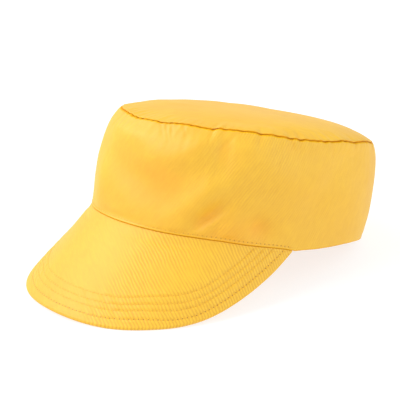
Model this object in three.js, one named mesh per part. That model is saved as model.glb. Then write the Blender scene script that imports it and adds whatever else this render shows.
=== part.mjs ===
// A cloth cap with a flat oval top, a tall side band and a stiff peak that curves down in front.
// It lies as it was put down: tilted back on the rim's rear edge and on the peak's lower edge.
//
// Lengths are in millimetres and +Z is up. The peak points to -Y and the floor is Z = 0.
// The cap is first shaped in its own upright frame, with the rim's plane at height 0 and the rim's
// middle at the origin, then tilted back and lowered onto the floor.
// Angles go round the head from the front of the cap, positive towards +X.

import * as THREE from 'three';

const { degToRad, radToDeg, lerp, smoothstep, euclideanModulo } = THREE.MathUtils;

// The rim: the oval that goes round the head, measured over the cloth.
const RIM_LENGTH = 196;
const RIM_WIDTH = 163;

// The seam where the side band meets the top panel.
const TOP_LENGTH = 183.6;
const TOP_WIDTH = 151;
const TOP_SET_BACK = 4.9;
const SEAM_HEIGHT = 64.6;
const SEAM_DROP_AT_ENDS = 3.5; // front and back sit this much below the sides

// The side band's swell between rim and seam. It is fullest above the middle.
const SWELL_FRONT = 5.8;
const SWELL_SIDE = 3.7;
const SWELL_BACK = 3.1;
const SWELL_LIFT = 1.55;
const SWELL_FULLNESS = 2.5;

// The top panel's puff.
const PUFF = 9.4;
const PUFF_FULLNESS = 4;
const PUFF_BACKWARD = 0.2; // the share by which the back puffs more than the middle

// The peak: its reach at the middle, its slope where it leaves the crown, and how far it goes round.
const PEAK_REACH = 64;
const PEAK_SLOPE = degToRad(52);
const PEAK_HALF_ANGLE = degToRad(75);
const PEAK_OUTLINE_POWER = 3.15;
const PEAK_SPREAD = 0.45; // the share of the rim's own turning that the peak follows
const PEAK_END = 0.985; // the share of the half angle where the narrow ends are cut off

// Cloth and seams.
const CLOTH = 2.2; // outer cloth, interlining and turnings together
const TOP_TURNING = 6; // the width of the top panel's edge that is folded under
const PEAK_THICKNESS = 2.8; // two cloths round a stiff board
const SEAM_GAP = 0.3;
const PEAK_TUCK = 0.4; // the band's hem stands out this much past the peak's sewn edge

// How the cap lies. Cloth that would pass through the floor is pressed flat on it.
const REST_TILT = degToRad(13.51);
const REST_LIFT = 21.1;
const RIM_MIDDLE_BEHIND = 18.4;

// Soft dents (minus) and ridges (plus) of the side band, in millimetres along its outward normal.
// around and width are in degrees, up and height are shares of the band's height, and lean is how
// many degrees the fold moves round the head over the whole height.
const FOLDS = [
  { around: 22, up: 0.54, width: 12, height: 0.2, lean: 8, depth: -1.5 },
  { around: 39, up: 0.3, width: 4, height: 0.22, lean: 24, depth: -1.9 },
  { around: 45, up: 0.24, width: 4, height: 0.2, lean: 28, depth: 1.3 },
  { around: 52, up: 0.1, width: 6, height: 0.12, lean: 0, depth: -1.2 },
  { around: 63, up: 0.26, width: 8, height: 0.16, lean: 10, depth: -1.2 },
  { around: 48, up: 0.72, width: 6, height: 0.26, lean: -6, depth: 0.9 },
  { around: 92, up: 0.5, width: 13, height: 0.24, lean: -10, depth: -0.9 },
  { around: 138, up: 0.45, width: 12, height: 0.25, lean: 12, depth: -1.4 },
  { around: -28, up: 0.45, width: 10, height: 0.22, lean: -12, depth: -1.3 },
  { around: -62, up: 0.3, width: 7, height: 0.2, lean: -22, depth: -1.5 },
  { around: -70, up: 0.35, width: 5, height: 0.2, lean: -22, depth: 1.0 },
  { around: -112, up: 0.5, width: 14, height: 0.26, lean: 8, depth: -1.2 },
  { around: -160, up: 0.42, width: 12, height: 0.24, lean: -10, depth: -1.3 },
];

// Mesh steps.
const STEPS_AROUND = 108;
const SIDE_ROWS = 11;
const TOP_RINGS = [0.25, 0.5, 0.7, 0.84, 0.94, 1];
const PEAK_STEPS_ALONG = 56;
const PEAK_ROWS = 7;
const PEAK_EDGE_STEPS = 4;

const CAP_COLOUR = '#f6bf45';

function steps(count, from, to) {
  return Array.from({ length: count + 1 }, (_, i) => lerp(from, to, i / count));
}

function rimPoint(angle) {
  return new THREE.Vector3((RIM_WIDTH / 2) * Math.sin(angle), (-RIM_LENGTH / 2) * Math.cos(angle), 0);
}

function seamPoint(angle) {
  const front = Math.cos(angle);
  return new THREE.Vector3(
    (TOP_WIDTH / 2) * Math.sin(angle),
    (-TOP_LENGTH / 2) * front + TOP_SET_BACK,
    SEAM_HEIGHT - SEAM_DROP_AT_ENDS * front * front,
  );
}

// The heading straight away from the head.
function outwardHeading(angle) {
  return Math.atan2(Math.sin(angle) / RIM_WIDTH, Math.cos(angle) / RIM_LENGTH);
}

function moveLevel(point, heading, distance) {
  point.x += distance * Math.sin(heading);
  point.y -= distance * Math.cos(heading);
  return point;
}

function swell(angle, up) {
  const front = Math.cos(angle);
  const ends = front > 0 ? SWELL_FRONT : SWELL_BACK;
  const amount = lerp(SWELL_SIDE, ends, front * front);
  return amount * (1 - Math.abs(2 * Math.max(up, 0) ** SWELL_LIFT - 1) ** SWELL_FULLNESS);
}

// The folds die out at the sewn top edge and at the hem.
function foldDepth(angle, up) {
  let depth = 0;
  for (const fold of FOLDS) {
    const middle = fold.around + fold.lean * (up - fold.up);
    const away = euclideanModulo(radToDeg(angle) - middle + 180, 360) - 180;
    depth += fold.depth * Math.exp(-((away / fold.width) ** 2) - ((up - fold.up) / fold.height) ** 2);
  }
  return depth * smoothstep(up, 0, 0.08) * smoothstep(1 - up, 0, 0.15);
}

// The outer cloth of the side band. up is 0 at the rim and 1 at the top seam.
function sidePoint(angle, up) {
  const point = rimPoint(angle).lerp(seamPoint(angle), up);
  return moveLevel(point, outwardHeading(angle), swell(angle, up) + foldDepth(angle, up));
}

// The outer cloth of the top panel. out is 0 at its middle and 1 at the seam.
function topPoint(angle, out) {
  const seam = seamPoint(angle);
  const middleHeight = SEAM_HEIGHT - SEAM_DROP_AT_ENDS / 2;
  const backward = ((seam.y - TOP_SET_BACK) * out) / (TOP_LENGTH / 2);
  const puff = PUFF * (1 - out ** PUFF_FULLNESS) * (1 + PUFF_BACKWARD * backward);
  return new THREE.Vector3(
    seam.x * out,
    lerp(TOP_SET_BACK, seam.y, out),
    lerp(middleHeight, seam.z, out * out) + puff + SEAM_GAP,
  );
}

// The upper cloth of the peak. along is -1 to 1 from end to end, and reach is 0 at the crown and 1
// at the edge. The peak is one flat board bent round, so its lines of reach fan out less than the
// rim's own turning, and lie steeper towards the ends.
function peakPoint(along, reach) {
  const angle = along * PEAK_HALF_ANGLE;
  const outward = outwardHeading(angle);
  const heading = PEAK_SPREAD * outward;
  const steepening = Math.cos(outward - heading) ** (PEAK_SPREAD / (1 - PEAK_SPREAD));
  const slope = Math.atan(Math.tan(PEAK_SLOPE) / steepening);
  const length = PEAK_REACH * (1 - Math.abs(along) ** PEAK_OUTLINE_POWER) * reach;
  const point = moveLevel(rimPoint(angle), outward, -PEAK_TUCK);
  moveLevel(point, heading, length * Math.cos(slope));
  point.z -= length * Math.sin(slope) + SEAM_GAP;
  return point;
}

// The unit normal of a surface that is given as a function of two numbers.
function normalOf(surface, a, b) {
  const step = 0.001;
  const alongA = surface(a + step, b).sub(surface(a - step, b));
  const alongB = surface(a, b + step).sub(surface(a, b - step));
  return alongA.cross(alongB).normalize();
}

// Tilts a point of the upright cap back and lowers it onto the floor.
function layDown(point) {
  const lying = point.applyAxisAngle(new THREE.Vector3(1, 0, 0), -REST_TILT);
  return new THREE.Vector3(lying.x, lying.y + RIM_MIDDLE_BEHIND, Math.max(lying.z + REST_LIFT, 0));
}

// Joins rows of points with two triangles to each step. The outside is on the side where the points
// of a row run to the right and the rows go up.
function joinRows(rows, rowsClose, pointsClose) {
  const count = rows[0].length;
  const rowSpans = rowsClose ? rows.length : rows.length - 1;
  const pointSpans = pointsClose ? count : count - 1;
  const index = [];
  for (let row = 0; row < rowSpans; row += 1) {
    const here = row * count;
    const above = ((row + 1) % rows.length) * count;
    for (let point = 0; point < pointSpans; point += 1) {
      const next = (point + 1) % count;
      index.push(here + point, here + next, above + next);
      index.push(here + point, above + next, above + point);
    }
  }
  return index;
}

// Closes a ring of corners with triangles that meet at a hub.
function joinFan(hub, ring) {
  return ring.flatMap((corner, i) => [hub, corner, ring[(i + 1) % ring.length]]);
}

function clothMesh(name, points, index) {
  const geometry = new THREE.BufferGeometry().setFromPoints(points.map(layDown));
  geometry.setIndex(index);
  geometry.computeVertexNormals();
  const material = new THREE.MeshStandardMaterial({ color: CAP_COLOUR, roughness: 0.9, metalness: 0 });
  const mesh = new THREE.Mesh(geometry, material);
  mesh.name = name;
  return mesh;
}

const anglesAround = steps(STEPS_AROUND, 0, 2 * Math.PI).slice(0, STEPS_AROUND);

// The side band: up its outer cloth, across the sewn top edge, and down its inner cloth to the hem.
// The cloth's thickness is laid off level, so hem and top edge are flat.
function buildSide() {
  const outer = steps(SIDE_ROWS, 0, 1).map((up) => anglesAround.map((angle) => sidePoint(angle, up)));
  const inner = steps(SIDE_ROWS, 1, 0).map((up) => anglesAround.map((angle) => {
    const normal = normalOf(sidePoint, angle, Math.min(up, 0.998));
    const point = sidePoint(angle, up);
    const level = normal.x ** 2 + normal.y ** 2;
    point.x -= (CLOTH * normal.x) / level;
    point.y -= (CLOTH * normal.y) / level;
    return point;
  }));
  const rows = [...outer, ...inner];
  return clothMesh('crown_side', rows.flat(), joinRows(rows, true, true));
}

// The top panel: out along its underside, over the folded edge, and back along its outer cloth.
function buildTop() {
  const inset = 1 - TOP_TURNING / (TOP_WIDTH / 2);
  const under = TOP_RINGS.map((out) => anglesAround.map((angle) => {
    const point = topPoint(angle, out * inset);
    point.z = out < 1 ? point.z - CLOTH : seamPoint(angle).z + SEAM_GAP;
    return point;
  }));
  const outer = TOP_RINGS.toReversed().map((out) => anglesAround.map((angle) => topPoint(angle, out)));
  const rows = [...under, ...outer];
  const underMiddle = topPoint(0, 0);
  underMiddle.z -= CLOTH;
  const points = [...rows.flat(), underMiddle, topPoint(0, 0)];
  const hub = points.length - 2;
  const firstRing = anglesAround.map((_, i) => i);
  const lastRing = firstRing.map((i) => hub - STEPS_AROUND + i);
  const index = [
    ...joinRows(rows, false, true),
    ...joinFan(hub, firstRing.toReversed()),
    ...joinFan(hub + 1, lastRing),
  ];
  return clothMesh('crown_top', points, index);
}

// The peak: out along its underside, round its edge, back along its upper cloth, with both narrow
// ends closed.
function buildPeak() {
  const alongs = steps(PEAK_STEPS_ALONG, -PEAK_END, PEAK_END);
  const downFrom = (along, reach, depth) => {
    const down = normalOf(peakPoint, along, reach);
    return peakPoint(along, reach).addScaledVector(down, depth);
  };
  const under = steps(PEAK_ROWS, 0, 1).map((reach) => alongs.map(
    (along) => downFrom(along, reach, PEAK_THICKNESS),
  ));
  const edge = steps(PEAK_EDGE_STEPS, 0, Math.PI).slice(1, -1).map((turn) => alongs.map((along) => {
    const radius = PEAK_THICKNESS / 2;
    const outward = peakPoint(along, 1).sub(peakPoint(along, 0)).normalize();
    return downFrom(along, 1, radius + radius * Math.cos(turn))
      .addScaledVector(outward, radius * Math.sin(turn));
  }));
  const upper = steps(PEAK_ROWS, 1, 0).map((reach) => alongs.map((along) => peakPoint(along, reach)));
  const rows = [...under, ...edge, ...upper];
  const points = rows.flat();
  const hub = points.length;
  const firstEnd = rows.map((_, row) => row * alongs.length);
  const lastEnd = firstEnd.map((corner) => corner + alongs.length - 1);
  const middleOf = (ring) => ring
    .reduce((sum, corner) => sum.add(points[corner]), new THREE.Vector3())
    .divideScalar(ring.length);
  points.push(middleOf(firstEnd), middleOf(lastEnd));
  const index = [
    ...joinRows(rows, true, false),
    ...joinFan(hub, firstEnd),
    ...joinFan(hub + 1, lastEnd.toReversed()),
  ];
  return clothMesh('peak', points, index);
}

const cap = new THREE.Group();
cap.name = 'peaked_pillbox_cap';
cap.add(buildTop(), buildSide(), buildPeak());

export default cap;
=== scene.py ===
# A yellow cloth cap with a flat oval top, a tall side band and a stiff peak that curves down.
# It lies as it was put down: tilted back on the rear of its rim and on the peak's lower edge.
# Lengths are in metres, +Z is up, the peak points to -Y and the floor is Z = 0. Angles go round
# the head from the front of the cap, positive towards +X. Left and right are as seen by someone who
# faces the peak, so right is +X.

import math

import bpy
import numpy as np
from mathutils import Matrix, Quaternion, Vector


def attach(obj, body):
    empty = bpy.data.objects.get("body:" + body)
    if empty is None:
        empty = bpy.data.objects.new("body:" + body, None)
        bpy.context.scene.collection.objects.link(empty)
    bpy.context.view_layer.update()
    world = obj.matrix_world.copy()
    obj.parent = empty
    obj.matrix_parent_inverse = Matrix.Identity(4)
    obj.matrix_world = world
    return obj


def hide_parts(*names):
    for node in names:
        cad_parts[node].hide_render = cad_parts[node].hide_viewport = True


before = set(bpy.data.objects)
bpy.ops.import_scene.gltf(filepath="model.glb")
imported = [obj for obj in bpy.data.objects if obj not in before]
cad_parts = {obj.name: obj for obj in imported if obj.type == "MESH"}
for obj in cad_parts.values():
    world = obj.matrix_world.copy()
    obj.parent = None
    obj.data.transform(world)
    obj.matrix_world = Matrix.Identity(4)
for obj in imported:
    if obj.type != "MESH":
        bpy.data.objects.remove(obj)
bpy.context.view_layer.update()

MM = 0.001


# THE SIDE BAND
# One strip of cotton-blend twill with a soft interlining, joined at the back of the head. Its top
# edge is sewn to the top panel with the turnings inside, which gathers it a little, and its hem is
# folded under round the rim and topstitched where it covers the peak.

RIM_LENGTH = 196 * MM
RIM_WIDTH = 163 * MM
TOP_LENGTH = 183.6 * MM
TOP_WIDTH = 151 * MM
TOP_SET_BACK = 4.9 * MM
SEAM_HEIGHT = 64.6 * MM
SEAM_DROP_AT_ENDS = 3.5 * MM
SWELL_FRONT = 5.8 * MM
SWELL_SIDE = 3.7 * MM
SWELL_BACK = 3.1 * MM
SWELL_LIFT = 1.55
SWELL_FULLNESS = 2.5
CLOTH = 2.2 * MM
SEAM_ROLL = 1.0 * MM
GATHER_DEPTH = 0.42 * MM
GATHER_RUN = 4.5 * MM
BACK_JOIN_DEPTH = 0.7 * MM
BACK_JOIN_HALF_WIDTH = 0.55
HEM_ROLL = 0.55 * MM
HEM_STITCH_UP = 1.8 * MM
HEM_STITCH_END = 73.5
HEM_STITCH_PRESS = 0.15 * MM
STITCH_PITCH = 2.7 * MM

REST_TILT = math.radians(13.51)
REST_LIFT = 21.1 * MM
RIM_MIDDLE_BEHIND = 18.4 * MM

# Soft dents (minus) and ridges (plus): degrees round the head, share of the height, half width in
# degrees, half height, degrees that the fold leans over the whole height, and depth.
SIDE_FOLDS = [
    (-13.6, 0.38, 7, 0.39, 5, 1.5 * MM),
    (-4.4, 0.01, 14, 0.06, -38, -1.2 * MM),
    (-1.2, 0.87, 16, 0.11, -31, 1.7 * MM),
    (-1.1, 0.51, 16, 0.25, -45, -1.9 * MM),
    (4.3, 0.01, 10, 0.05, -21, -1.2 * MM),
    (15, 0.41, 16, 0.24, -35, -3.4 * MM),
    (22.8, 0.70, 14.5, 0.13, 29, 1.6 * MM),
    (30.9, 0.86, 6.1, 0.11, 14, 2.0 * MM),
    (35.9, 0.36, 7.7, 0.26, 29, 2.8 * MM),
    (40.1, 0.19, 3.7, 0.18, 23, -4.0 * MM),
    (40.8, 0.79, 4.2, 0.27, -5, -1.9 * MM),
    (42.8, 0.17, 2.0, 0.12, 41, 1.0 * MM),
    (43.1, 0.01, 3.1, 0.23, 11, -3.0 * MM),
    (45.7, 0.14, 8.9, 0.20, 44, 2.6 * MM),
    (50, 0.49, 15, 0.37, 22, 1.9 * MM),
    (53.7, 0.85, 9.4, 0.33, -36, 1.9 * MM),
    (59.2, 0.17, 5.5, 0.12, -17, -2.6 * MM),
    (65.8, 0.50, 15, 0.12, 21, -0.7 * MM),
    (69, 0.92, 14.5, 0.19, 13, -1.9 * MM),
    (87.2, 0.31, 16, 0.22, -19, -1.9 * MM),
    (88.1, 0.64, 7.8, 0.40, 26, -2.0 * MM),
    (99, 0.80, 15, 0.35, 11, -1.6 * MM),
    (140, 0.22, 18, 0.22, 0, 1.2 * MM),
    (-62, 0.30, 7, 0.20, -22, -1.5 * MM),
    (-70, 0.35, 5, 0.20, -22, 1.0 * MM),
    (-112, 0.50, 14, 0.26, 8, -1.2 * MM),
    (-160, 0.42, 12, 0.24, -10, -1.3 * MM),
]

# Pleats that the top seam has caught: degrees, half width in degrees, depth, how far they run
# away from the seam, and how many degrees they slant in each millimetre of that.
SEAM_PLEATS = [
    (-18.5, 1.3, 1.1 * MM, 7 * MM, 0),
    (-14.0, 0.9, 0.5 * MM, 5 * MM, 0),
    (10.5, 0.8, 0.6 * MM, 8 * MM, 0.6),
    (13.3, 0.6, 0.7 * MM, 9 * MM, 0.5),
    (16.0, 0.7, 0.6 * MM, 8 * MM, 0.4),
    (21.5, 0.6, 0.4 * MM, 5 * MM, 0.5),
    (34.8, 0.7, 0.4 * MM, 3 * MM, 0),
    (45.0, 1.2, 0.5 * MM, 10 * MM, -0.5),
    (53.2, 0.9, 0.4 * MM, 6 * MM, 0),
    (66.0, 1.3, 0.7 * MM, 7 * MM, 0.2),
    (70.0, 0.9, 0.5 * MM, 6 * MM, 0),
    (86.0, 1.0, 0.4 * MM, 7 * MM, 0),
    (101.0, 0.9, 0.3 * MM, 5 * MM, 0),
    (-75.0, 1.2, 0.8 * MM, 9 * MM, 0),
    (121.0, 1.1, 0.7 * MM, 8 * MM, 0),
    (-140.0, 1.3, 0.8 * MM, 9 * MM, 0),
]

# How the seam and the hem wander up and down round the head: degrees and rise.
SEAM_WANDER = [
    (-24, 0.8), (-18, 0.7), (-13, 0.3), (-9, -0.1), (-6, -0.6), (-1, -0.3), (5, 0.2), (11, -0.1),
    (16, 0.6), (22, 1.2), (27, 0.8), (31, 0.5), (34.4, 0.0), (35.4, 0.9), (41, 1.1), (46, 1.25),
    (52, 1.0), (53.5, 0.3), (58, 0.6), (61, 0.1), (66, -0.5), (70, -0.8), (76, -0.7), (82, -0.8),
    (88, -0.3), (92, 0.5), (97, 0.2), (100, -0.3), (106, 0.6), (113, 0.9), (120, 0.3), (131, -0.4),
    (142, 0.5), (158, -0.3), (171, 0.4), (186, -0.5), (203, 0.5), (222, -0.4), (240, 0.4),
    (262, -0.5), (281, 0.5), (300, -0.4), (318, 0.4),
]
HEM_WANDER = [
    (-60, 0.3), (-30, 0.0), (0, 0.0), (25, 0.1), (36, 0.6), (47, 0.8), (56, 0.2), (66, -0.1),
    (71, -0.5), (76, -1.5), (80, -0.9), (86, -0.4), (91, 0.2), (97, 0.8), (103, 1.3), (112, 1.3),
    (118, 0.8), (125, 0.2), (140, 0.0), (220, 0.0), (260, 0.5), (280, -0.3),
]


def smooth_step(value, start, end):
    share = np.clip((value - start) / (end - start), 0, 1)
    return share * share * (3 - 2 * share)


def ripple(turn, seed, lowest, highest):
    """A wave of about -1 to 1, mixed from waves that fit lowest to highest times in a turn."""
    dice = np.random.default_rng(seed)
    counts = np.arange(lowest, highest + 1)
    strengths = dice.uniform(0.3, 1, counts.size)
    starts = dice.uniform(0, 2 * math.pi, counts.size)
    wave = sum(s * np.sin(c * turn + p) for c, s, p in zip(counts, strengths, starts))
    return wave / np.sqrt((strengths ** 2).sum())


def rounded_edge(distance, radius):
    """How far a surface draws in where it rolls over an edge."""
    return radius * (1 - np.sqrt(1 - np.clip(1 - distance / radius, 0, 1) ** 2))


def degrees_away(angle, degrees):
    return (np.degrees(angle) - degrees + 180) % 360 - 180


def wander(angle, table):
    turns, rises = np.array(table).T
    return MM * np.interp(np.degrees(angle), turns, rises, period=360)


def rim_point(angle):
    x = RIM_WIDTH / 2 * np.sin(angle)
    y = -RIM_LENGTH / 2 * np.cos(angle)
    return np.stack([x, y, wander(angle, HEM_WANDER)], -1)


def seam_lift(angle):
    return wander(angle, SEAM_WANDER) + 0.2 * MM * ripple(angle, 11, 45, 110)


def seam_point(angle):
    front = np.cos(angle)
    x = TOP_WIDTH / 2 * np.sin(angle)
    y = TOP_SET_BACK - TOP_LENGTH / 2 * front
    return np.stack([x, y, SEAM_HEIGHT - SEAM_DROP_AT_ENDS * front ** 2 + seam_lift(angle)], -1)


def outward_heading(angle):
    return np.arctan2(np.sin(angle) / RIM_WIDTH, np.cos(angle) / RIM_LENGTH)


def level_step(heading, distance):
    return np.stack([distance * np.sin(heading), -distance * np.cos(heading), 0 * distance], -1)


def swell(angle, up):
    front = np.cos(angle)
    ends = np.where(front > 0, SWELL_FRONT, SWELL_BACK)
    amount = SWELL_SIDE + (ends - SWELL_SIDE) * front ** 2
    return amount * (1 - np.abs(2 * np.maximum(up, 0) ** SWELL_LIFT - 1) ** SWELL_FULLNESS)


def side_fold(angle, up):
    depth = 0 * angle
    for around, height, width, tall, lean, most in SIDE_FOLDS:
        away = degrees_away(angle, around + lean * (up - height))
        depth = depth + most * np.exp(-((away / width) ** 2) - ((up - height) / tall) ** 2)
    return depth * smooth_step(up, 0, 0.08) * smooth_step(1 - up, 0, 0.15)


def seam_gather(angle, away):
    """How far the cloth beside the top seam is drawn in by its gathers and pleats."""
    wave = ripple(angle + 6 * away, 23, 26, 62)
    strength = np.clip(0.55 + 0.45 * ripple(angle, 29, 3, 9), 0.15, 1.2)
    drawn = GATHER_DEPTH * strength * np.exp(-((wave / 0.55) ** 2) - away / GATHER_RUN)
    for around, width, depth, run, slant in SEAM_PLEATS:
        aside = degrees_away(angle, around) - slant * away / MM
        drawn = drawn + depth * np.exp(-((aside / width) ** 2) - (away / run) ** 2)
    return drawn


def painted_seam_shade(angle):
    """How dark the painted shade in the seam is: less so in front, where the cloth lies looser."""
    return 0.5 + 0.5 * smooth_step(np.abs(degrees_away(angle, 0)), 6, 26)


def band_relief(angle, up):
    """The small forms of the band's outer cloth, along its outward heading."""
    below_seam = (1 - up) * SEAM_HEIGHT
    above_hem = up * SEAM_HEIGHT
    slack = 0.12 * MM * ripple(angle + 1.1 * up, 5, 5, 15) * ripple(angle - 0.8 * up, 9, 3, 9)
    slack = slack + 0.03 * MM * ripple(angle - 0.9 * up, 7, 16, 40)
    from_join = degrees_away(angle, 180) / BACK_JOIN_HALF_WIDTH
    join = BACK_JOIN_DEPTH * np.exp(-(from_join ** 2))
    stitched = HEM_STITCH_PRESS * np.exp(-(((above_hem - HEM_STITCH_UP) / (0.9 * MM)) ** 2))
    stitched = stitched * (np.abs(degrees_away(angle, 0)) < HEM_STITCH_END)
    rolls = rounded_edge(below_seam, SEAM_ROLL) + rounded_edge(above_hem, HEM_ROLL)
    return slack * np.sin(math.pi * up) - seam_gather(angle, below_seam) - join - stitched - rolls


def side_point(angle, up, out):
    """A point of the smooth side band, moved outwards."""
    foot = rim_point(angle)
    point = foot + (seam_point(angle) - foot) * up[..., None]
    distance = swell(angle, up) + side_fold(angle, up) + out
    return point + level_step(outward_heading(angle), distance)


def lay_down(point):
    """Tilts the upright cap back and lowers it onto the floor, which presses its lowest cloth
    flat."""
    turn, rise = math.cos(REST_TILT), math.sin(REST_TILT)
    x, y, z = point[..., 0], point[..., 1], point[..., 2]
    lying_y = y * turn + z * rise + RIM_MIDDLE_BEHIND
    lying_z = z * turn - y * rise + REST_LIFT
    return np.stack([x, lying_y, np.maximum(lying_z, 0)], -1)


def sewn_mesh(name, rows, cut, rows_close=False, points_close=False, rings=(), marks=None):
    """Joins rows of points with four-sided faces. The outside is where the points of a row run to
    the right and the rows go up. cut is each corner's place on the flat cloth, with one more row
    or point than rows has where they close. Each ring of (row, point) corners is closed by
    triangles that meet in its middle. marks are values at the points for the materials."""
    row_count, point_count = rows.shape[:2]
    numbers = np.arange(row_count * point_count).reshape(row_count, point_count)
    places = np.arange(cut.shape[0] * cut.shape[1]).reshape(cut.shape[:2])
    if points_close:
        numbers = np.concatenate([numbers, numbers[:, :1]], 1)
    if rows_close:
        numbers = np.concatenate([numbers, numbers[:1]], 0)

    def corners(grid):
        return np.stack([grid[:-1, :-1], grid[:-1, 1:], grid[1:, 1:], grid[1:, :-1]], -1)

    points = rows.reshape(-1, 3)
    flat = cut.reshape(-1, 2)
    faces = corners(numbers).reshape(-1, 4).tolist()
    face_places = corners(places).reshape(-1).tolist()
    values = {mark: grid.ravel() for mark, grid in (marks or {}).items()}
    for ring in rings:
        own = [numbers[corner] for corner in ring]
        on_cloth = [places[corner] for corner in ring]
        for i in range(len(ring)):
            following = (i + 1) % len(ring)
            faces.append([len(points), own[i], own[following]])
            face_places += [len(flat), on_cloth[i], on_cloth[following]]
        points = np.concatenate([points, points[own].mean(0)[None]])
        flat = np.concatenate([flat, flat[on_cloth].mean(0)[None]])
        values = {mark: np.append(v, v[own].mean()) for mark, v in values.items()}

    mesh = bpy.data.meshes.new(name)
    mesh.from_pydata(points.tolist(), [], faces)
    mesh.polygons.foreach_set("use_smooth", [True] * len(faces))
    layer = mesh.uv_layers.new(name="cut cloth")
    layer.data.foreach_set("uv", flat[face_places].ravel())
    for mark, at_points in values.items():
        mesh.attributes.new(mark, "FLOAT", "POINT").data.foreach_set("value", at_points)
    piece = bpy.data.objects.new(name, mesh)
    bpy.context.collection.objects.link(piece)
    return piece


def lengths_along(points):
    return np.concatenate([[0], np.cumsum(np.linalg.norm(np.diff(points, axis=0), axis=1))])


STEPS_ROUND = 640
round_angles = np.linspace(-math.pi, math.pi, STEPS_ROUND + 1)

# Height steps are finest in the rolled hem and at the gathered seam.
outer_ups = np.concatenate([
    np.linspace(0, 1.4 * MM, 6)[:-1],
    np.linspace(1.4 * MM, 4 * MM, 9)[:-1],
    np.linspace(4 * MM, SEAM_HEIGHT - 10 * MM, 54)[:-1],
    np.linspace(SEAM_HEIGHT - 10 * MM, SEAM_HEIGHT - 1.5 * MM, 18)[:-1],
    np.linspace(SEAM_HEIGHT - 1.5 * MM, SEAM_HEIGHT, 7),
]) / SEAM_HEIGHT
inner_ups = np.concatenate([np.linspace(1, 0.06, 22), np.linspace(0.04, 0, 5)])
outer_count = len(outer_ups)

band_angle, band_up = np.meshgrid(round_angles, np.concatenate([outer_ups, inner_ups]))
band_out = np.concatenate([
    band_relief(band_angle[:outer_count], band_up[:outer_count]),
    rounded_edge(band_up[outer_count:] * SEAM_HEIGHT, HEM_ROLL) - CLOTH,
])
band_rows = lay_down(side_point(band_angle, band_up, band_out))

# The band laid flat: its length round the head against its height.
round_lengths = lengths_along(side_point(round_angles, 0.5 + 0 * round_angles, 0))
cut_ups = np.concatenate([outer_ups, inner_ups, outer_ups[:1]])
band_cut = np.stack(np.meshgrid(round_lengths, cut_ups * SEAM_HEIGHT), -1)

# The row of topstitching. The painted shade of its needle holes is drawn by the cloth's material,
# from how many stitches along the row a point is and how far beside it. Cloth with no row near has
# NO_ROW_NEAR.
NO_ROW_NEAR = 9 * MM
hem_angles = np.radians(np.linspace(-HEM_STITCH_END, HEM_STITCH_END, 600))
hem_ups = np.full(hem_angles.shape, HEM_STITCH_UP / SEAM_HEIGHT)
hem_row = lay_down(side_point(hem_angles, hem_ups, band_relief(hem_angles, hem_ups)))
hem_outward = lay_down(side_point(hem_angles, hem_ups, band_relief(hem_angles, hem_ups) + MM))
hem_outward = (hem_outward - hem_row) / MM
hem_lengths = lengths_along(hem_row)
hem_stitches = round(hem_lengths[-1] / STITCH_PITCH)
band_along = np.interp(band_angle, hem_angles, hem_lengths / hem_lengths[-1] * hem_stitches)
band_beside = band_up * SEAM_HEIGHT - HEM_STITCH_UP
past_row = np.abs(np.degrees(band_angle)) > HEM_STITCH_END
band_beside[past_row] = NO_ROW_NEAR
band_beside[outer_count:] = NO_ROW_NEAR

# Painted shade: the cloth is coloured darker where it is pinched in the seam, in its gathers and
# above the hem.
from_seam = (1 - band_up) * SEAM_HEIGHT
band_sideways = np.abs(degrees_away(band_angle, 0))
band_crease_shade = painted_seam_shade(band_angle) * np.exp(-((from_seam / (0.3 * MM)) ** 2))
band_crease_shade += 0.5 * np.exp(-((band_up * SEAM_HEIGHT / (0.4 * MM)) ** 2))
band_crease_shade += 0.35 * np.clip(seam_gather(band_angle, from_seam) / MM, 0, 1)

# Painted bounce light and shade: the dents in front, and the hollow above the hem beside them, are
# coloured deeper and warmer, as light that bounces about in them would come out.
band_dent_shade = 0.28 * np.clip(-side_fold(band_angle, band_up) / (3 * MM), 0, 1)
band_dent_shade *= 1 - smooth_step(band_sideways, 55, 72)
hollow = (degrees_away(band_angle, 50) / 12) ** 2 + ((band_up - 0.05) / 0.22) ** 2
band_dent_shade += 0.2 * np.exp(-hollow)

# The ribs of the twill show most where the cloth is drawn tight round the sides of the head.
beside_front = smooth_step(band_sideways, 22, 48) * smooth_step(-band_sideways, -105, -75)
band_ribs = 0.15 + 0.85 * beside_front

crown_side = sewn_mesh(
    "crown_side_cloth", band_rows[:, :-1], band_cut, rows_close=True, points_close=True,
    marks={
        "stitch_along": band_along[:, :-1],
        "stitch_beside": band_beside[:, :-1],
        "stitch_pull": 0.35 + 0.65 * smooth_step(band_sideways, 8, 20)[:, :-1],
        "painted_crease_shade": band_crease_shade[:, :-1],
        "painted_dent_shade": band_dent_shade[:, :-1],
        "ribs": band_ribs[:, :-1],
    })


def hex_colour(code):
    """The linear colour of an sRGB hex value."""
    shares = [int(code[i:i + 2], 16) / 255 for i in (1, 3, 5)]
    linear = [s / 12.92 if s <= 0.04045 else ((s + 0.055) / 1.055) ** 2.4 for s in shares]
    return (*linear, 1)


def add_node(tree, kind, inputs=None, **settings):
    """Adds a node with its settings. Each input is a value, or a socket to link from."""
    node = tree.nodes.new(kind)
    for setting, value in settings.items():
        setattr(node, setting, value)
    for socket, value in (inputs or {}).items():
        if isinstance(value, bpy.types.NodeSocket):
            tree.links.new(value, node.inputs[socket])
        else:
            node.inputs[socket].default_value = value
    return node


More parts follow.
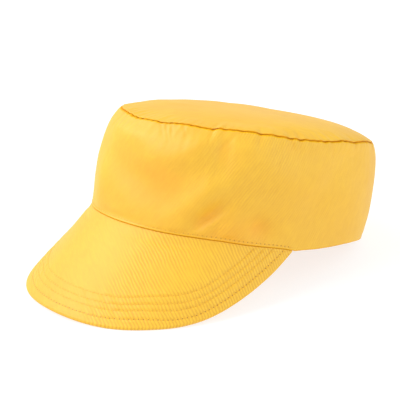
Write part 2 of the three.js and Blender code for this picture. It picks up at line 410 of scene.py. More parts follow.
def twill_cloth(name, rib_lean, rib_spacing, rib_strength, shine=0.75, bloom=0.05):
    """Woven and dyed cotton-blend twill: a matt cloth with slanting ribs, a soft bloom of fibre
    ends at glancing angles, and a slightly uneven dye. Such ribs usually stand about 0.7 mm apart,
    too fine to show at the render's 0.6 mm a pixel, so they are drawn 1.6 to 1.8 mm apart. shine is
    how much light glints off the threads, and bloom is how pale the fibre ends make the cloth."""
    material = bpy.data.materials.new(name)
    material.use_nodes = True
    tree = material.node_tree
    tree.nodes.clear()
    place = add_node(tree, "ShaderNodeUVMap", uv_map="cut cloth").outputs["UV"]
    waver = add_node(tree, "ShaderNodeTexNoise", {
        "Vector": place, "Scale": 55.0, "Detail": 2.0, "Roughness": 0.5})
    turned = add_node(tree, "ShaderNodeVectorRotate", {
        "Vector": place, "Angle": rib_lean}, rotation_type="Z_AXIS").outputs[0]
    along_ribs = add_node(tree, "ShaderNodeVectorMath", {
        0: turned, 1: (1, 0.3, 1)}, operation="MULTIPLY").outputs[0]
    threads = add_node(tree, "ShaderNodeTexNoise", {
        "Vector": along_ribs, "Scale": 480.0, "Detail": 3.0, "Roughness": 0.6})
    across = add_node(tree, "ShaderNodeSeparateXYZ", {0: turned}).outputs["X"]
    drifted = add_node(tree, "ShaderNodeMath", {
        0: waver.outputs["Fac"], 1: 2.4 * MM, 2: across}, operation="MULTIPLY_ADD").outputs[0]
    shaken = add_node(tree, "ShaderNodeMath", {
        0: threads.outputs["Fac"], 1: 1.4 * MM, 2: drifted}, operation="MULTIPLY_ADD").outputs[0]
    phase = add_node(tree, "ShaderNodeMath", {
        0: shaken, 1: 2 * math.pi / rib_spacing}, operation="MULTIPLY").outputs[0]
    wave = add_node(tree, "ShaderNodeMath", {0: phase}, operation="SINE").outputs[0]
    patch = add_node(tree, "ShaderNodeTexNoise", {
        "Vector": place, "Scale": 38.0, "Detail": 3.0, "Roughness": 0.6})
    patchy = add_node(tree, "ShaderNodeMapRange", {
        "Value": patch.outputs["Fac"], "From Min": 0.38, "From Max": 0.62,
        "To Min": 0.2, "To Max": 1.0}).outputs[0]
    drawn_tight = add_node(tree, "ShaderNodeAttribute", attribute_name="ribs").outputs["Fac"]
    showing = add_node(tree, "ShaderNodeMath", {
        0: patchy, 1: drawn_tight}, operation="MULTIPLY").outputs[0]
    rib = add_node(tree, "ShaderNodeMath", {0: wave, 1: showing}, operation="MULTIPLY").outputs[0]

    dye = add_node(tree, "ShaderNodeTexNoise", {
        "Vector": place, "Scale": 24.0, "Detail": 4.0, "Roughness": 0.55})
    slub = add_node(tree, "ShaderNodeMath", {
        0: threads.outputs["Fac"], 1: dye.outputs["Fac"]}, operation="ADD").outputs[0]
    tone = add_node(tree, "ShaderNodeMapRange", {
        "Value": slub, "From Min": 0.5, "From Max": 1.5}).outputs[0]
    ribbed_tone = add_node(tree, "ShaderNodeMath", {
        0: rib, 1: rib_strength, 2: tone}, operation="MULTIPLY_ADD").outputs[0]
    dyed = add_node(tree, "ShaderNodeMix", {
        0: ribbed_tone, 6: hex_colour("#dea10a"), 7: hex_colour("#ecb616")}, data_type="RGBA")

    # Painted shade: darker, more orange cloth where seams, gathers, hems and quilting grooves are
    # pinched.
    painted_crease_shade = add_node(tree, "ShaderNodeAttribute", attribute_name="painted_crease_shade").outputs["Fac"]
    crease_shaded = add_node(tree, "ShaderNodeMix", {
        0: painted_crease_shade, 6: dyed.outputs[2], 7: hex_colour("#e29207")}, data_type="RGBA")
    # Painted bounce light and shade: deeper, warmer cloth in the dents and the hollow above the
    # hem.
    painted_dent_shade = add_node(tree, "ShaderNodeAttribute", attribute_name="painted_dent_shade").outputs["Fac"]
    dent_shaded = add_node(tree, "ShaderNodeMix", {
        0: painted_dent_shade, 6: crease_shaded.outputs[2], 7: hex_colour("#fa9408")}, data_type="RGBA")

    # Painted shade in the needle holes, half way between the stitches of a row.
    along = add_node(tree, "ShaderNodeAttribute", attribute_name="stitch_along").outputs["Fac"]
    beside = add_node(tree, "ShaderNodeAttribute", attribute_name="stitch_beside").outputs["Fac"]
    turn_share = add_node(tree, "ShaderNodeMath", {0: along}, operation="FRACT").outputs[0]
    off_hole = add_node(tree, "ShaderNodeMath", {
        0: turn_share, 1: STITCH_PITCH, 2: -STITCH_PITCH / 2}, operation="MULTIPLY_ADD").outputs[0]
    from_hole = add_node(tree, "ShaderNodeVectorMath", {
        0: add_node(tree, "ShaderNodeCombineXYZ", {0: off_hole, 1: beside}).outputs[0],
    }, operation="LENGTH").outputs["Value"]
    hole_shade = add_node(tree, "ShaderNodeMapRange", {
        "Value": from_hole, "From Min": 0.18 * MM, "From Max": 0.5 * MM,
        "To Min": 1.0, "To Max": 0.0}, interpolation_type="SMOOTHSTEP").outputs[0]
    pull = add_node(tree, "ShaderNodeAttribute", attribute_name="stitch_pull").outputs["Fac"]
    open_hole_shade = add_node(tree, "ShaderNodeMath", {
        0: hole_shade, 1: pull}, operation="MULTIPLY").outputs[0]
    hole_shaded = add_node(tree, "ShaderNodeMix", {
        0: open_hole_shade, 6: dent_shaded.outputs[2], 7: hex_colour("#a8680c")}, data_type="RGBA")

    rib_height = add_node(tree, "ShaderNodeMath", {
        0: rib, 1: 0.05 * MM}, operation="MULTIPLY").outputs[0]
    thread_height = add_node(tree, "ShaderNodeMath", {
        0: threads.outputs["Fac"], 1: 0.05 * MM, 2: rib_height},
        operation="MULTIPLY_ADD").outputs[0]
    slack_height = add_node(tree, "ShaderNodeMath", {
        0: dye.outputs["Fac"], 1: 0.9 * MM, 2: thread_height},
        operation="MULTIPLY_ADD").outputs[0]
    bump = add_node(tree, "ShaderNodeBump", {
        "Height": slack_height, "Strength": 1.0, "Distance": 1.0}).outputs[0]
    cloth = add_node(tree, "ShaderNodeBsdfPrincipled", {
        "Base Color": hole_shaded.outputs[2], "Roughness": 0.6, "IOR": 1.5,
        "Specular IOR Level": shine, "Sheen Weight": bloom, "Sheen Roughness": 0.45,
        "Sheen Tint": (1, 0.97, 0.9, 1), "Normal": bump})
    add_node(tree, "ShaderNodeOutputMaterial", {"Surface": cloth.outputs[0]})
    return material


CROWN_RIBS = {"rib_lean": math.radians(27), "rib_spacing": 1.6 * MM, "rib_strength": 0.3}
crown_twill = twill_cloth("crown cotton twill, woven", **CROWN_RIBS)
crown_side.data.materials.append(crown_twill)

# Where two cloths are pinched together in the seam and at the hem they shade each other. That shade
# is painted: these faces get a copy of the twill with almost no shine and no bloom.
shaded_seam_twill = twill_cloth(
    "crown cotton twill, with painted seam shade", **CROWN_RIBS, shine=0.1, bloom=0.0)


def shade_pinched_faces(piece, rows):
    """Gives the faces that start from these rows of a closed piece the copy of the cloth that has
    the painted seam shade.
    """
    piece.data.materials.append(shaded_seam_twill)
    for row in rows:
        for face in piece.data.polygons[row * STEPS_ROUND:(row + 1) * STEPS_ROUND]:
            face.material_index = 1


# Two rows of faces at the hem and four at the seam.
shade_pinched_faces(crown_side, [0, 1, *range(outer_count - 4, outer_count)])
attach(crown_side, "root")
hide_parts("crown_side")


# THE TOP PANEL
# One oval of the same twill, interlined, with its edge turned under and sewn to the side band all
# round. It puffs up a little in the middle, and rolls over into the seam at its edge.

PUFF = 9.8 * MM
PUFF_FULLNESS = 4
PUFF_BACKWARD = 0.24
TOP_TURNING = 6 * MM
TOP_ROLL = 0.95 * MM
TOP_ROLL_RADIUS = 0.8 * MM
TOP_ROLL_FROM = math.radians(125)
TOP_ROLL_TO = math.radians(27)
TOP_RIBS = 0.3
TOP_ABOVE_SEAM = 0.3 * MM
SEAM_GAP = 0.12 * MM


def top_point(angle, out):
    seam = seam_point(angle)
    lift = seam_lift(angle)
    middle_height = SEAM_HEIGHT - SEAM_DROP_AT_ENDS / 2
    from_middle = (seam[..., 1] - TOP_SET_BACK) * out
    backward = from_middle / (TOP_LENGTH / 2)
    puff = PUFF * (1 - out ** PUFF_FULLNESS) * (1 + PUFF_BACKWARD * backward)
    height = middle_height + (seam[..., 2] - lift - middle_height) * out ** 2
    height = height + lift * smooth_step(out, 0.8, 1) + puff + TOP_ABOVE_SEAM
    return np.stack([seam[..., 0] * out, TOP_SET_BACK + from_middle, height], -1)


def top_relief(angle, out):
    inside = (1 - out) * TOP_WIDTH / 2
    slack = 0.14 * MM * ripple(angle + 2.2 * out, 41, 3, 11) * smooth_step(out, 0.15, 0.6)
    slack = slack + 0.05 * MM * ripple(angle - 1.4 * out, 43, 12, 30) * smooth_step(out, 0.7, 0.9)
    return slack * smooth_step(inside, 0, 5 * MM) - 0.5 * seam_gather(angle, inside)


def seam_crest(angle):
    """The highest that the band's edge stands about a degree to either side of each ray."""
    height = seam_point(angle)[..., :-1, 2]
    crest = np.max([np.roll(height, shift, -1) for shift in range(-2, 3)], 0)
    return np.concatenate([crest, crest[..., :1]], -1)


# Rings go out along the underside, over the turned edge, round the roll and back to the middle.
# Near the seam none of them lies lower than a small gap above the band's edge. That floor is the
# same for all rings of the roll, and presses the roll flat.
under_outs = np.concatenate([np.linspace(0.04, 0.915, 14), np.linspace(0.93, 0.985, 4)])
roll_turns = np.linspace(TOP_ROLL_FROM, TOP_ROLL_TO, 9)[:-1]
roll_start = 1 - TOP_ROLL / (TOP_WIDTH / 2)
over_outs = np.concatenate([np.linspace(roll_start, 0.86, 15)[:-1], np.linspace(0.86, 0.02, 50)])

under_angle, under_out = np.meshgrid(round_angles, under_outs)
under_rows = top_point(under_angle, under_out)
turned_under = under_out > 1 - TOP_TURNING / (TOP_WIDTH / 2)
turned_height = seam_crest(under_angle) + SEAM_GAP
under_rows[..., 2] = np.where(turned_under, turned_height, under_rows[..., 2] - CLOTH)

over_angle, over_out = np.meshgrid(round_angles, over_outs)
over_rows = top_point(over_angle, over_out)
over_rows[..., 2] += top_relief(over_angle, over_out)
over_rows[..., 2] = np.maximum(over_rows[..., 2], seam_crest(over_angle) + 2 * SEAM_GAP)

roll_angle, roll_turn = np.meshgrid(round_angles, roll_turns)
roll_rows = over_rows[:1] + level_step(
    outward_heading(roll_angle), TOP_ROLL_RADIUS * (np.sin(roll_turn) - math.sin(roll_turns[-1])))
roll_rows[..., 2] -= TOP_ROLL_RADIUS * (math.cos(TOP_ROLL_TO) - np.cos(roll_turn))
roll_rows[..., 2] = np.maximum(roll_rows[..., 2], seam_crest(roll_angle) + SEAM_GAP)

top_rows = np.concatenate([under_rows, roll_rows, over_rows])
over_inside = (1 - over_out) * TOP_WIDTH / 2
# Painted shade where the top's edge rolls over into the seam.
top_crease_shade = np.concatenate([
    smooth_step(under_out, 0.97, 0.985), 1 + 0 * roll_turn,
    np.exp(-((over_inside / (0.6 * MM)) ** 2))])
top_last = len(top_rows) - 1
crown_top = sewn_mesh(
    "crown_top_cloth", lay_down(top_rows)[:, :-1], top_rows[..., :2], points_close=True,
    rings=[
        [(0, i) for i in reversed(range(STEPS_ROUND))],
        [(top_last, i) for i in range(STEPS_ROUND)],
    ],
    marks={
        "painted_crease_shade": (top_crease_shade * painted_seam_shade(round_angles))[:, :-1],
        "ribs": np.full(top_crease_shade[:, :-1].shape, TOP_RIBS),
        "stitch_beside": np.full(top_crease_shade[:, :-1].shape, NO_ROW_NEAR),
    })
crown_top.data.materials.append(crown_twill)
# The outermost row of faces of the underside, and the roll.
shade_pinched_faces(crown_top, range(len(under_outs) - 1, len(under_outs) + len(roll_turns)))
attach(crown_top, "root")
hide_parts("crown_top")


# THE PEAK
# A flat crescent of stiff board between two layers of twill, quilted to it by four rows of
# stitches that follow its outer edge. It is bent round the front of the rim and sewn in under the
# band's hem, which curves it down at both ends.

PEAK_REACH = 64 * MM
PEAK_SLOPE = math.radians(52)
PEAK_HALF_ANGLE = math.radians(75)
PEAK_OUTLINE_POWER = 3.15
PEAK_FULLER_RIGHT = 2 * MM
PEAK_SAG_LEFT = 1.2 * MM
PEAK_SPREAD = 0.45
PEAK_END = 0.997
PEAK_ROOT = 1.9 * MM
PEAK_THICKNESS = 2.8 * MM
PEAK_UNDERSIDE_IN = 0.3 * MM
PEAK_BELOW_HEM = 0.15 * MM
PEAK_TUCK = 0.4 * MM
QUILT_DEPTH = 0.2 * MM
QUILT_WIDTH = 0.75 * MM

# The quilting rows: how far in from the peak's outer edge, and how open the needle holes stand,
# which sets how dark their painted shade is.
QUILT_ROWS = [(4.0 * MM, 1), (9.0 * MM, 0.4), (12.8 * MM, 0.3), (17.2 * MM, 0.35)]

# How the quilting rows wander together off their distances: share along the peak and millimetres.
ROW_WANDER = [
    (-1, 0.4), (-0.7, -0.5), (-0.5, 0.4), (-0.3, 1.4), (-0.2, 0.5), (-0.1, 0.2), (0.0, -0.1),
    (0.2, 0.0), (0.28, 0.1), (0.35, 0.5), (0.42, 0.7), (0.5, -0.1), (0.56, -1.0), (0.64, -1.2),
    (0.7, -0.4), (0.78, 0.4), (0.85, 0.8), (0.93, 0.6), (1, 0.4),
]


def peak_point(along, reach):
    angle = along * PEAK_HALF_ANGLE
    outward = outward_heading(angle)
    heading = PEAK_SPREAD * outward
    steepening = np.cos(outward - heading) ** (PEAK_SPREAD / (1 - PEAK_SPREAD))
    slope = np.arctan(math.tan(PEAK_SLOPE) / steepening)
    outline = 1 - np.abs(along) ** PEAK_OUTLINE_POWER
    fuller = PEAK_FULLER_RIGHT * np.exp(-(((along - 0.66) / 0.13) ** 2))
    length = (PEAK_REACH * outline + fuller) * np.maximum(reach, 0)
    # Below a reach of 0 the peak goes on level, under the thickness of the band's hem.
    tuck = PEAK_TUCK + PEAK_REACH * np.maximum(-reach, 0)
    point = rim_point(angle) - level_step(outward, tuck)
    point = point + level_step(heading, length * np.cos(slope))
    point[..., 2] -= length * np.sin(slope) + PEAK_BELOW_HEM
    return point


def peak_sag(along, reach):
    """How far the peak hangs below its smooth curve on the left."""
    away = ((along + 0.45) / 0.2) ** 2 + ((reach - 0.45) / 0.35) ** 2
    return PEAK_SAG_LEFT * np.exp(-away)


def quilt_pull(along):
    """How hard the quilting is pulled in: least in the middle of the peak."""
    return 0.3 + 0.7 * smooth_step(np.abs(along + 0.02), 0.1, 0.45)


def short_of_tips(along):
    """1 along the peak, and down to 0 over the last stretch before its two tips."""
    return smooth_step(np.abs(along), 1.0, 0.93)


def peak_fullness(along):
    """The share of its thickness that the peak keeps towards its two tips."""
    return 0.25 + 0.75 * short_of_tips(along)


def peak_down(along, reach):
    """The direction straight through the peak, away from its upper cloth."""
    step = 0.001
    sloping = np.maximum(reach, step)
    sideways = peak_point(along + step, sloping) - peak_point(along - step, sloping)
    outwards = peak_point(along, sloping + step) - peak_point(along, sloping - step)
    normal = np.cross(sideways, outwards)
    return normal / np.linalg.norm(normal, axis=-1)[..., None]


def third_corner(a, b, from_a, from_b):
    """The corner of a triangle to the right of the line from a to b, by its two distances."""
    line = b - a
    length = np.hypot(*line)
    forward = (from_a ** 2 - from_b ** 2 + length ** 2) / (2 * length)
    aside = math.sqrt(max(from_a ** 2 - forward ** 2, 0))
    unit = line / length
    return a + forward * unit + aside * np.array([unit[1], -unit[0]])


def unfolded(inner_line, outer_line):
    """The two long edges of a bent strip, rolled out flat."""
    inner = [np.zeros(2)]
    outer = [np.array([0, -np.linalg.norm(outer_line[0] - inner_line[0])])]
    for i in range(1, len(inner_line)):
        here, there = inner_line[i], outer_line[i]
        inner.append(third_corner(
            outer[-1], inner[-1],
            np.linalg.norm(here - outer_line[i - 1]), np.linalg.norm(here - inner_line[i - 1])))
        outer.append(third_corner(
            outer[-1], inner[-1],
            np.linalg.norm(there - outer_line[i - 1]), np.linalg.norm(there - here)))
    return np.array(inner), np.array(outer)


PEAK_STEPS = 420
alongs = np.linspace(-PEAK_END, PEAK_END, PEAK_STEPS + 1)
flat_inner, flat_outer = unfolded(
    peak_point(alongs, 0 * alongs), peak_point(alongs, 0 * alongs + 1))
middle = PEAK_STEPS // 2
down_middle = flat_outer[middle] - flat_inner[middle]
turn_back = -math.pi / 2 - math.atan2(down_middle[1], down_middle[0])
spin = np.array([[math.cos(turn_back), math.sin(turn_back)],
                 [-math.sin(turn_back), math.cos(turn_back)]])
flat_middle = flat_inner[middle].copy()
flat_inner = (flat_inner - flat_middle) @ spin
flat_outer = (flat_outer - flat_middle) @ spin


def flat_place(along, reach):
    """Where a point of the peak lies on the flat crescent."""
    inner = np.stack([np.interp(along, alongs, flat_inner[:, i]) for i in (0, 1)], -1)
    outer = np.stack([np.interp(along, alongs, flat_outer[:, i]) for i in (0, 1)], -1)
    return inner + (outer - inner) * reach[..., None]


def nearest_on(line, places):
    """The distance to a line on the flat cloth, and the length along it of the nearest point."""
    lengths = lengths_along(line)
    headings = np.gradient(line, axis=0)
    headings /= np.linalg.norm(headings, axis=1)[:, None]
    flat = places.reshape(-1, 2)
    distance = np.empty(len(flat))
    along_line = np.empty(len(flat))
    for start in range(0, len(flat), 4000):
        some = flat[start:start + 4000]
        gaps = np.linalg.norm(some[:, None] - line[None], axis=2)
        closest = gaps.argmin(1)
        offset = some - line[closest]
        forward = (offset * headings[closest]).sum(1)
        forward = np.where((closest == 0) | (closest == len(line) - 1), 0, forward)
        distance[start:start + 4000] = np.sqrt(np.maximum((offset ** 2).sum(1) - forward ** 2, 0))
        along_line[start:start + 4000] = lengths[closest] + forward
    return distance.reshape(places.shape[:-1]), along_line.reshape(places.shape[:-1])


# Each quilting row is the line on the peak that keeps its own distance from the edge.
fine_alongs = np.linspace(-PEAK_END, PEAK_END, PEAK_STEPS)
fine_edge = flat_place(fine_alongs, 0 * fine_alongs + 1)
reach_steps = np.linspace(0, 1, 60)
grid_along, grid_reach = np.meshgrid(fine_alongs, reach_steps, indexing="ij")
grid_inside, _ = nearest_on(fine_edge, flat_place(grid_along, grid_reach))
quilt_lines = []
for inside, _ in QUILT_ROWS:
    wandering = inside + MM * np.interp(fine_alongs, *np.array(ROW_WANDER).T)
    on_row = [(a, np.interp(-i, -column, reach_steps))
              for a, i, column in zip(fine_alongs, wandering, grid_inside) if column[0] > i]
    quilt_lines.append(np.array(on_row))

# Rows run out along the underside, round the edge, and back over the upper side to the root.
root = -PEAK_ROOT / PEAK_REACH
upper_reaches = np.concatenate([
    np.linspace(1, 0.6, 66)[:-1], np.linspace(0.6, 0.004, 46), [0, root / 2, root]])
under_reaches = np.concatenate([np.linspace(0, 0.6, 12)[:-1], np.linspace(0.6, 1, 34)])
edge_turns = np.linspace(0, math.pi, 9)[1:-1]
peak_reach_rows = np.concatenate([under_reaches, 1 + 0 * edge_turns, upper_reaches])
peak_along, peak_reach = np.meshgrid(alongs, peak_reach_rows)
peak_flat = flat_place(peak_along, peak_reach)
peak_inside, peak_edge_length = nearest_on(fine_edge, peak_flat)

groove = 0 * peak_along
peak_beside = 0 * peak_along + NO_ROW_NEAR
peak_stitch = 0 * peak_along
peak_pull = 0 * peak_along
for line, (_, pull) in zip(quilt_lines, QUILT_ROWS):
    row_flat = flat_place(line[:, 0], line[:, 1])
    beside, forward = nearest_on(row_flat, peak_flat)
    row_length = lengths_along(row_flat)[-1]
    count = round(row_length / STITCH_PITCH)
    groove += np.exp(-((beside / QUILT_WIDTH) ** 2))
    closer = beside < peak_beside
    peak_beside = np.where(closer, beside, peak_beside)
    peak_stitch = np.where(closer, forward / row_length * count, peak_stitch)
    peak_pull = np.where(closer, pull, peak_pull)

# The quilting draws grooves and puckers its border. Behind it the cloth lies a little slack, and in
# front of the band's hem it dips, most on either side of the middle.
border = smooth_step(-peak_inside, -22 * MM, -17 * MM) * smooth_step(peak_inside, 0, 4 * MM)
pucker = 0.1 * MM * ripple(peak_edge_length * 22 + 30 * peak_inside, 61, 14, 44) * border
dip_share = 0.15 + 0.85 * np.exp(-(((np.abs(peak_along) - 0.4) / 0.14) ** 2))
from_dip = peak_reach * PEAK_REACH - 6.5 * MM
seam_dip = 0.9 * MM * dip_share * np.exp(-((from_dip / (3 * MM)) ** 2))
slack = 0.12 * MM * ripple(peak_flat[..., 0] * 16 + 9 * peak_flat[..., 1], 67, 2, 7)
slack = slack * smooth_step(peak_inside, 15 * MM, 26 * MM)
groove = np.minimum(groove, 1)
soft = 1 - groove
quilted = quilt_pull(peak_along) * (0.18 * MM * soft * border - QUILT_DEPTH * groove)
peak_relief = quilted + pucker * soft + slack
peak_relief *= smooth_step(peak_reach * PEAK_REACH, 0.2 * MM, 1.5 * MM)
upper_from = len(under_reaches) + len(edge_turns)
depth = np.concatenate([
    np.full(len(under_reaches), PEAK_THICKNESS),
    PEAK_THICKNESS / 2 * (1 + np.cos(edge_turns)),
    np.zeros(len(upper_reaches)),
])[:, None] + 0 * peak_along
depth[:len(under_reaches)] += peak_relief[:len(under_reaches)] - PEAK_UNDERSIDE_IN
depth[upper_from:] -= (peak_relief - seam_dip)[upper_from:]
depth = depth * peak_fullness(peak_along) + peak_sag(peak_along, peak_reach)
bulge = np.concatenate([
    0 * under_reaches, PEAK_THICKNESS / 2 * np.sin(edge_turns), 0 * upper_reaches])[:, None]
bulge = bulge * short_of_tips(peak_along)
outwards = peak_point(alongs, 0 * alongs + 1) - peak_point(alongs, 0 * alongs)
outwards /= np.linalg.norm(outwards, axis=1)[:, None]
peak_rows = peak_point(peak_along, peak_reach)
peak_rows = peak_rows + peak_down(peak_along, peak_reach) * depth[..., None]
peak_rows = lay_down(peak_rows + outwards[None] * bulge[..., None])
# Painted shade in the quilting grooves and at the root, under the band's hem.
peak_crease_shade = 0.03 * groove
peak_crease_shade += 0.3 * np.exp(-((peak_reach * PEAK_REACH / (0.6 * MM)) ** 2))
every_row = range(len(peak_rows))
peak = sewn_mesh(
    "peak_cloth", peak_rows, np.concatenate([peak_flat, peak_flat[:1]]), rows_close=True,
    rings=[
        [(row, 0) for row in every_row],
        [(row, PEAK_STEPS) for row in reversed(every_row)],
    ],
    marks={
        "stitch_along": peak_stitch, "stitch_beside": peak_beside, "stitch_pull": peak_pull,
        "painted_crease_shade": peak_crease_shade,
        "ribs": 0.07 + 0.93 * smooth_step(np.abs(peak_along + 0.05), 0.18, 0.38),
    })
peak_twill = twill_cloth("peak cotton twill, woven", math.radians(-60), 1.8 * MM, 1.1)
peak.data.materials.append(peak_twill)
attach(peak, "root")
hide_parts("peak")


# THE STITCHES
# Lockstitch in spun polyester thread of the cloth's own yellow, nine to 25 mm: one row
# along the band's hem and four round the peak, which show on both of its sides.

STITCH_LENGTH = 2.1 * MM
THREAD_WIDTH = 0.45 * MM

# Short fibres twisted together: nearly matt, finely uneven, and a shade paler than the cloth, so
# that each stitch shows as a small bead.
thread = bpy.data.materials.new("polyester sewing thread, spun")
thread.use_nodes = True
tree = thread.node_tree
tree.nodes.clear()
twist = add_node(tree, "ShaderNodeTexNoise", {
    "Vector": add_node(tree, "ShaderNodeTexCoord").outputs["Object"], "Scale": 2500.0,
    "Detail": 2.0})
thread_colour = add_node(tree, "ShaderNodeMix", {
    0: twist.outputs["Fac"], 6: hex_colour("#e2a51c"), 7: hex_colour("#edb828")},
    data_type="RGBA")
thread_bump = add_node(tree, "ShaderNodeBump", {
    "Height": twist.outputs["Fac"], "Strength": 0.5, "Distance": 0.0001})
spun = add_node(tree, "ShaderNodeBsdfPrincipled", {
    "Base Color": thread_colour.outputs[2], "Roughness": 0.55, "IOR": 1.5,
    "Sheen Weight": 0.1, "Normal": thread_bump.outputs[0]})
add_node(tree, "ShaderNodeOutputMaterial", {"Surface": spun.outputs[0]})

stitching = bpy.data.node_groups.new("a row of stitches", "GeometryNodeTree")
sockets = {}
for label, kind in [
        ("Row", "NodeSocketGeometry"), ("Pitch", "NodeSocketFloat"), ("Length", "NodeSocketFloat"),
        ("Width", "NodeSocketFloat"), ("Thread", "NodeSocketMaterial"), ("Seed", "NodeSocketInt")]:
    sockets[label] = stitching.interface.new_socket(label, in_out="INPUT", socket_type=kind)
stitching.interface.new_socket("Stitches", in_out="OUTPUT", socket_type="NodeSocketGeometry")
given = add_node(stitching, "NodeGroupInput").outputs
curve = add_node(stitching, "GeometryNodeMeshToCurve", {"Mesh": given["Row"]}).outputs[0]
spaced = add_node(stitching, "GeometryNodeResampleCurve", {
    "Curve": curve, "Length": given["Pitch"]}, mode="LENGTH").outputs[0]
lie = add_node(stitching, "GeometryNodeInputTangent").outputs[0]
sway = add_node(stitching, "FunctionNodeRandomValue", {
    "Min": (-0.07, -0.07, -0.07), "Max": (0.07, 0.07, 0.07), "Seed": given["Seed"]},
    data_type="FLOAT_VECTOR").outputs[0]
swayed = add_node(stitching, "ShaderNodeVectorMath", {0: lie, 1: sway}, operation="ADD").outputs[0]
facing = add_node(stitching, "GeometryNodeInputNamedAttribute", {"Name": "outward"},
                  data_type="FLOAT_VECTOR").outputs[0]
laid = add_node(stitching, "FunctionNodeAlignRotationToVector", {"Vector": swayed},
                axis="X").outputs[0]
laid = add_node(stitching, "FunctionNodeAlignRotationToVector", {
    "Rotation": laid, "Vector": facing}, axis="Z", pivot_axis="X").outputs[0]
bead = add_node(stitching, "GeometryNodeMeshUVSphere", {
    "Segments": 8, "Rings": 5, "Radius": 0.5}).outputs[0]
size = add_node(stitching, "ShaderNodeCombineXYZ", {
    0: given["Length"], 1: given["Width"], 2: given["Width"]}).outputs[0]
stitch = add_node(stitching, "GeometryNodeTransform", {"Geometry": bead, "Scale": size}).outputs[0]
sewn = add_node(stitching, "GeometryNodeInstanceOnPoints", {
    "Points": spaced, "Instance": stitch, "Rotation": laid}).outputs[0]
real = add_node(stitching, "GeometryNodeRealizeInstances", {0: sewn}).outputs[0]
real = add_node(stitching, "GeometryNodeSetMaterial", {
    "Geometry": real, "Material": given["Thread"]}).outputs[0]
add_node(stitching, "NodeGroupOutput", {0: real})


def sew_rows(name, rows, seed):
    """Stitches along rows of (points, outward directions), as one mesh."""
    points = np.concatenate([row for row, _ in rows])
    outward = np.concatenate([direction for _, direction in rows])
    edges = []
    start = 0
    for row, _ in rows:
        edges += [(start + i, start + i + 1) for i in range(len(row) - 1)]
        start += len(row)
    lines = bpy.data.meshes.new(name + "_lines")
    lines.from_pydata(points.tolist(), edges, [])
    lines.attributes.new("outward", "FLOAT_VECTOR", "POINT").data.foreach_set(
        "vector", outward.ravel())
    piece = bpy.data.objects.new(name, lines)
    bpy.context.collection.objects.link(piece)
    machine = piece.modifiers.new("stitching", "NODES")
    machine.node_group = stitching
    machine[sockets["Pitch"].identifier] = STITCH_PITCH
    machine[sockets["Length"].identifier] = STITCH_LENGTH
    machine[sockets["Width"].identifier] = THREAD_WIDTH
    machine[sockets["Thread"].identifier] = thread
    machine[sockets["Seed"].identifier] = seed
    result = bpy.data.meshes.new_from_object(
        piece.evaluated_get(bpy.context.evaluated_depsgraph_get()))
    piece.modifiers.clear()
    piece.data = result
    result.name = name
    result.polygons.foreach_set("use_smooth", [True] * len(result.polygons))
    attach(piece, "root")


def peak_row(line, side):
    """A quilting row on the upper side (0) or the underside (1) of the peak."""
    along, reach = line[:, 0], line[:, 1]
    down = peak_down(along, reach)
    sunk = QUILT_DEPTH * quilt_pull(along)
    deep = np.where(side, PEAK_THICKNESS - PEAK_UNDERSIDE_IN - sunk, sunk) * peak_fullness(along)
    deep = deep + peak_sag(along, reach)
    upright = peak_point(along, reach) + down * deep[:, None]
    facing = lay_down(upright + down * MM) - lay_down(upright)
    return lay_down(upright), facing / MM * (1 if side else -1)


sew_rows("hem_stitches", [(hem_row, hem_outward)], 3)
sew_rows("peak_stitches", [peak_row(line, 0) for line in quilt_lines], 5)
sew_rows("peak_under_stitches", [peak_row(line, 1) for line in quilt_lines], 7)


# THE STAGE
# A white light table that sweeps up into a low rim all round, a key light high in front on the
# left, a second light beside the cap there, three weaker ones on the right and behind, and pale
# light all round. The camera stands where the photograph was taken from.

TABLE_MIDDLE_RADIUS = 0.5
FLOOR_RADIUS = 4
SWEEP_RADIUS = 1.2
TABLE_BELOW_CLOTH = 0.2 * MM

floor_rings = [(TABLE_MIDDLE_RADIUS, 0), (FLOOR_RADIUS, 0)]
for turn in np.linspace(0, math.pi / 2, 13)[1:]:
    floor_rings.append((
        FLOOR_RADIUS + SWEEP_RADIUS * math.sin(turn), SWEEP_RADIUS * (1 - math.cos(turn))))
floor_turns = np.linspace(0, 2 * math.pi, 97)[:-1]
floor_points = [
    (radius * math.cos(turn), radius * math.sin(turn), height - TABLE_BELOW_CLOTH)
    for radius, height in floor_rings for turn in floor_turns]
floor_faces = [tuple(range(len(floor_turns)))]
for ring in range(len(floor_rings) - 1):
    for i in range(len(floor_turns)):
        here = ring * len(floor_turns) + i
        beside = ring * len(floor_turns) + (i + 1) % len(floor_turns)
        floor_faces.append((here, here + len(floor_turns), beside + len(floor_turns), beside))
floor_mesh = bpy.data.meshes.new("floor")
floor_mesh.from_pydata(floor_points, [], floor_faces)
floor_mesh.polygons.foreach_set("use_smooth", [True] * len(floor_faces))
floor = bpy.data.objects.new("floor", floor_mesh)
bpy.context.collection.objects.link(floor)

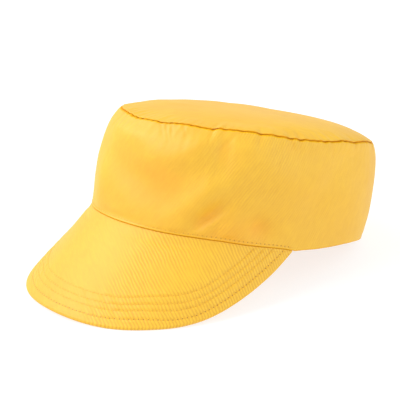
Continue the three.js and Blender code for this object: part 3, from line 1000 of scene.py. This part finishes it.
# Frosted and lit from inside: an even white with no edge, and only a faint shadow of the peak.
acrylic = bpy.data.materials.new("white acrylic light table, matt")
acrylic.use_nodes = True
frosted = acrylic.node_tree.nodes["Principled BSDF"]
frosted.inputs["Base Color"].default_value = hex_colour("#929292")
frosted.inputs["Roughness"].default_value = 0.9
frosted.inputs["Emission Color"].default_value = (1, 1, 1, 1)
frosted.inputs["Emission Strength"].default_value = 0.76
floor_mesh.materials.append(acrylic)


# Square soft lights that face the cap: degrees round from the front towards the right, degrees
# above the floor, watts and tint.
LAMP_DISTANCE = 2.0
LAMP_SIZE = 1.5
LAMPS = [
    ("key light", -32, 46, 31.5, (0.93, 1, 1.07)),
    ("high light", -88, 48, 11.5, (0.97, 1, 1)),
    ("side light", 80, 25, 5, (0.9, 1, 1)),
    ("rear light", 120, 45, 7.5, (0.82, 1, 1)),
    ("low rear light", 130, 15, 7, (0.82, 1, 1.1)),
]

for lamp_name, azimuth, elevation, watts, tint in LAMPS:
    around, above = math.radians(azimuth), math.radians(elevation)
    lamp = bpy.data.lights.new(lamp_name, "AREA")
    lamp.size = LAMP_SIZE
    lamp.energy = watts
    lamp.color = tint
    holder = bpy.data.objects.new(lamp_name, lamp)
    holder.location = (
        LAMP_DISTANCE * math.sin(around) * math.cos(above),
        -LAMP_DISTANCE * math.cos(around) * math.cos(above),
        LAMP_DISTANCE * math.sin(above))
    holder.rotation_euler = (-holder.location).to_track_quat("-Z", "Y").to_euler()
    bpy.context.collection.objects.link(holder)

world = bpy.data.worlds.new("pale studio")
world.use_nodes = True
world.node_tree.nodes["Background"].inputs["Color"].default_value = (1, 1, 1, 1)
world.node_tree.nodes["Background"].inputs["Strength"].default_value = 0.55
bpy.context.scene.world = world
bpy.context.scene.view_settings.view_transform = "Standard"

CAMERA_PLACE = Vector((0.41756, -0.38894, 0.22757))
CAMERA_TARGET = Vector((-0.00135, -0.00693, 0.03896))
CAMERA_ROLL = math.radians(-1.225)
view = bpy.data.cameras.new("camera")
view.sensor_width = 36
view.lens = 83.49
camera = bpy.data.objects.new("camera", view)
camera.location = CAMERA_PLACE
camera.rotation_mode = "QUATERNION"
aim = (CAMERA_TARGET - CAMERA_PLACE).to_track_quat("-Z", "Y")
camera.rotation_quaternion = aim @ Quaternion((0, 0, 1), CAMERA_ROLL)
bpy.context.collection.objects.link(camera)
bpy.context.scene.camera = camera
